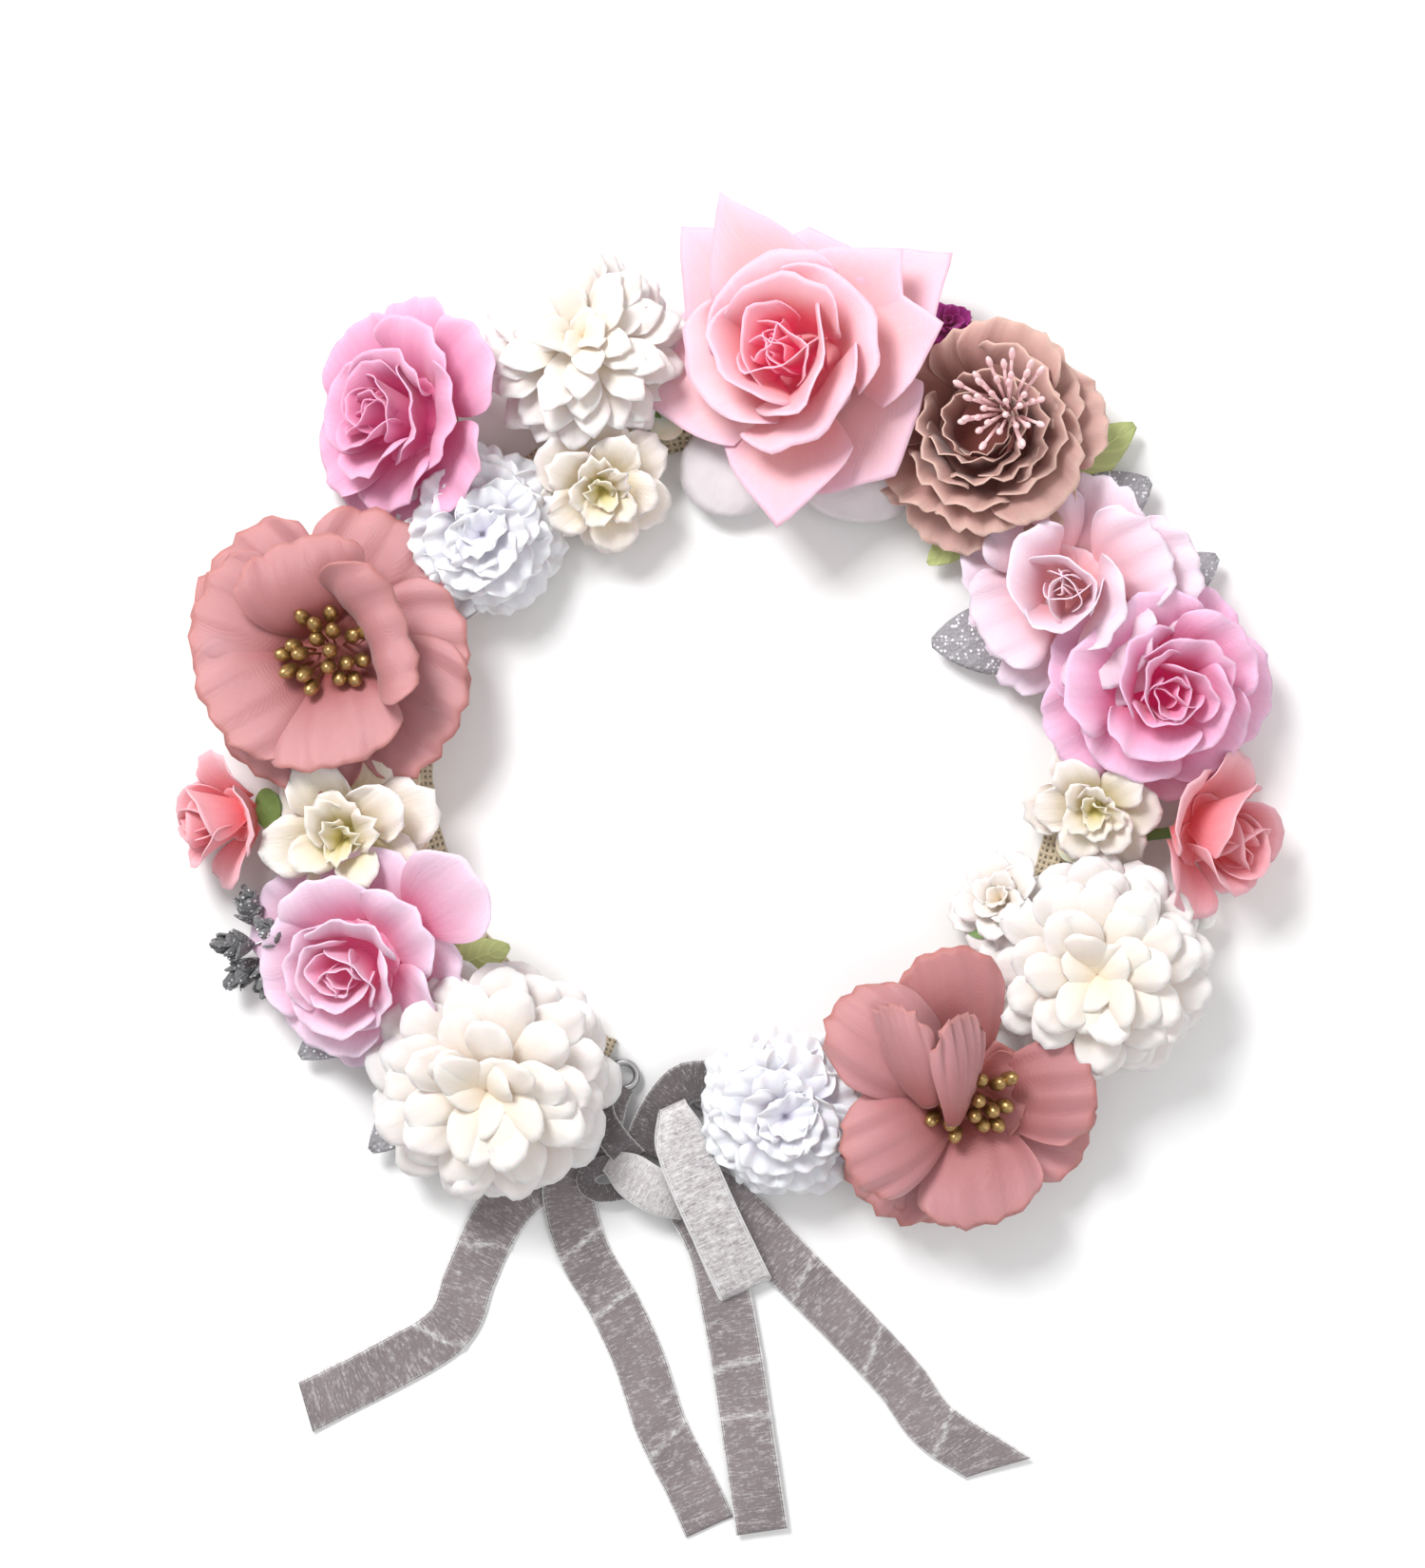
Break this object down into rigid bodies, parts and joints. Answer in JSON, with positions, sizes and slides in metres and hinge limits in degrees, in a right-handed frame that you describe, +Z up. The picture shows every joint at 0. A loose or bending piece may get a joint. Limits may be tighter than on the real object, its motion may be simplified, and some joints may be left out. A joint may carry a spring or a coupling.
{
  "type": "flower crown",
  "caption": "Open floral head wreath: a jute-covered wire ring with mixed fabric flowers, leaves and berries on top, closed at the back by an organza ribbon tie.",
  "frame": {"origin": "centre of the head opening, on the plane the crown rests on", "axes": "+Z up, out of the flowers' faces, +Y towards the front of the crown, +X to the right as seen from above"},
  "size_m": [0.2713, 0.3394, 0.0468],
  "materials": {
    "wire": "drawn steel wire",
    "tape": "crepe florist's tape, matt",
    "jute": "open plain weave of coarse jute",
    "glue": "set hot glue, glossy and cloudy",
    "cup": "moulded flower cup, satin",
    "pink_rose": "pressed satin-faced polyester, pink heart paling outwards",
    "dusty_peony": "pressed polyester voile, frayed edges",
    "blush": "pressed polyester voile, pale pink",
    "orchid": "pressed polyester voile, orchid pink",
    "coral": "pressed polyester voile, coral",
    "cream": "pressed polyester voile, cream with a green heart",
    "ivory": "pressed foam-backed fabric, ivory",
    "old_rose": "heat-edged polyester satin, old rose",
    "cool_white": "pinked polyester voile, cool white",
    "magenta": "pressed polyester voile, magenta",
    "gold_stamen": "antique gold lacquer",
    "pink_stamen": "waxed thread",
    "green_leaf": "pressed polyester leaf, yellow-green",
    "glitter_leaf": "grey leaf with glitter",
    "satin": "white satin",
    "glitter_bud": "dark bud rolled in silver glitter",
    "pearl": "pearly lacquer",
    "green_stem": "green plastic-coated wire",
    "organza": "translucent silver-grey organza"
  },
  "bodies": {
    "right_half": {"right_wire": "wire", "right_tape": "tape", "right_jute_band": "jute", "right_glue_pads": "glue", "right_cups": "cup", "big_rose": "pink_rose", "peony": "dusty_peony", "blush_rose": "blush", "orchid_rose": "orchid", "coral_right": "coral", "cream_right": "cream", "mum_right": "ivory", "cream_bud": "ivory", "poppy_right": "old_rose", "white_right": "cool_white", "magenta_blossom": "magenta", "peony_stamens": "pink_stamen", "poppy_right_stamens": "gold_stamen", "green_leaves_right": "green_leaf", "glitter_leaves_right": "glitter_leaf", "satin_leaves": "satin", "pearl_berries": "pearl", "pearl_stems": "green_stem", "bow_knot": "organza", "bow_loop": "organza", "tie_arm_right": "organza", "tie_arm_left": "organza"},
    "left_half": {"left_wire": "wire", "left_tape": "tape", "left_jute_band": "jute", "left_glue_pads": "glue", "left_cups": "cup", "mum_left": "ivory", "lilac_left": "orchid", "cream_left": "cream", "coral_left": "coral", "poppy_left": "old_rose", "white_left": "cool_white", "pink_left": "orchid", "mum_top": "ivory", "cream_top": "cream", "poppy_left_stamens": "gold_stamen", "green_leaf_left": "green_leaf", "glitter_leaves_left": "glitter_leaf", "glitter_buds": "glitter_bud", "bud_stems": "wire"},
    "left_tails": {"left_ribbon_tails": "organza"},
    "right_tails": {"right_ribbon_tails": "organza"}
  },
  "joints": [
    {"name": "band_flex", "type": "hinge", "parent": "right_half", "child": "left_half", "pos_m": [0.02047, 0.08867, 0.0025], "axis": [0, 0, -1], "range_deg": [0, 8]},
    {"name": "left_tails_swing", "type": "hinge", "parent": "left_half", "child": "left_tails", "pos_m": [-0.03192, -0.08522, 0.0025], "axis": [0, 0, 1], "range_deg": [-12, 12]},
    {"name": "right_tails_swing", "type": "hinge", "parent": "right_half", "child": "right_tails", "pos_m": [-0.026, -0.111, 0.005], "axis": [0, 0, 1], "range_deg": [-12, 12]}
  ]
}
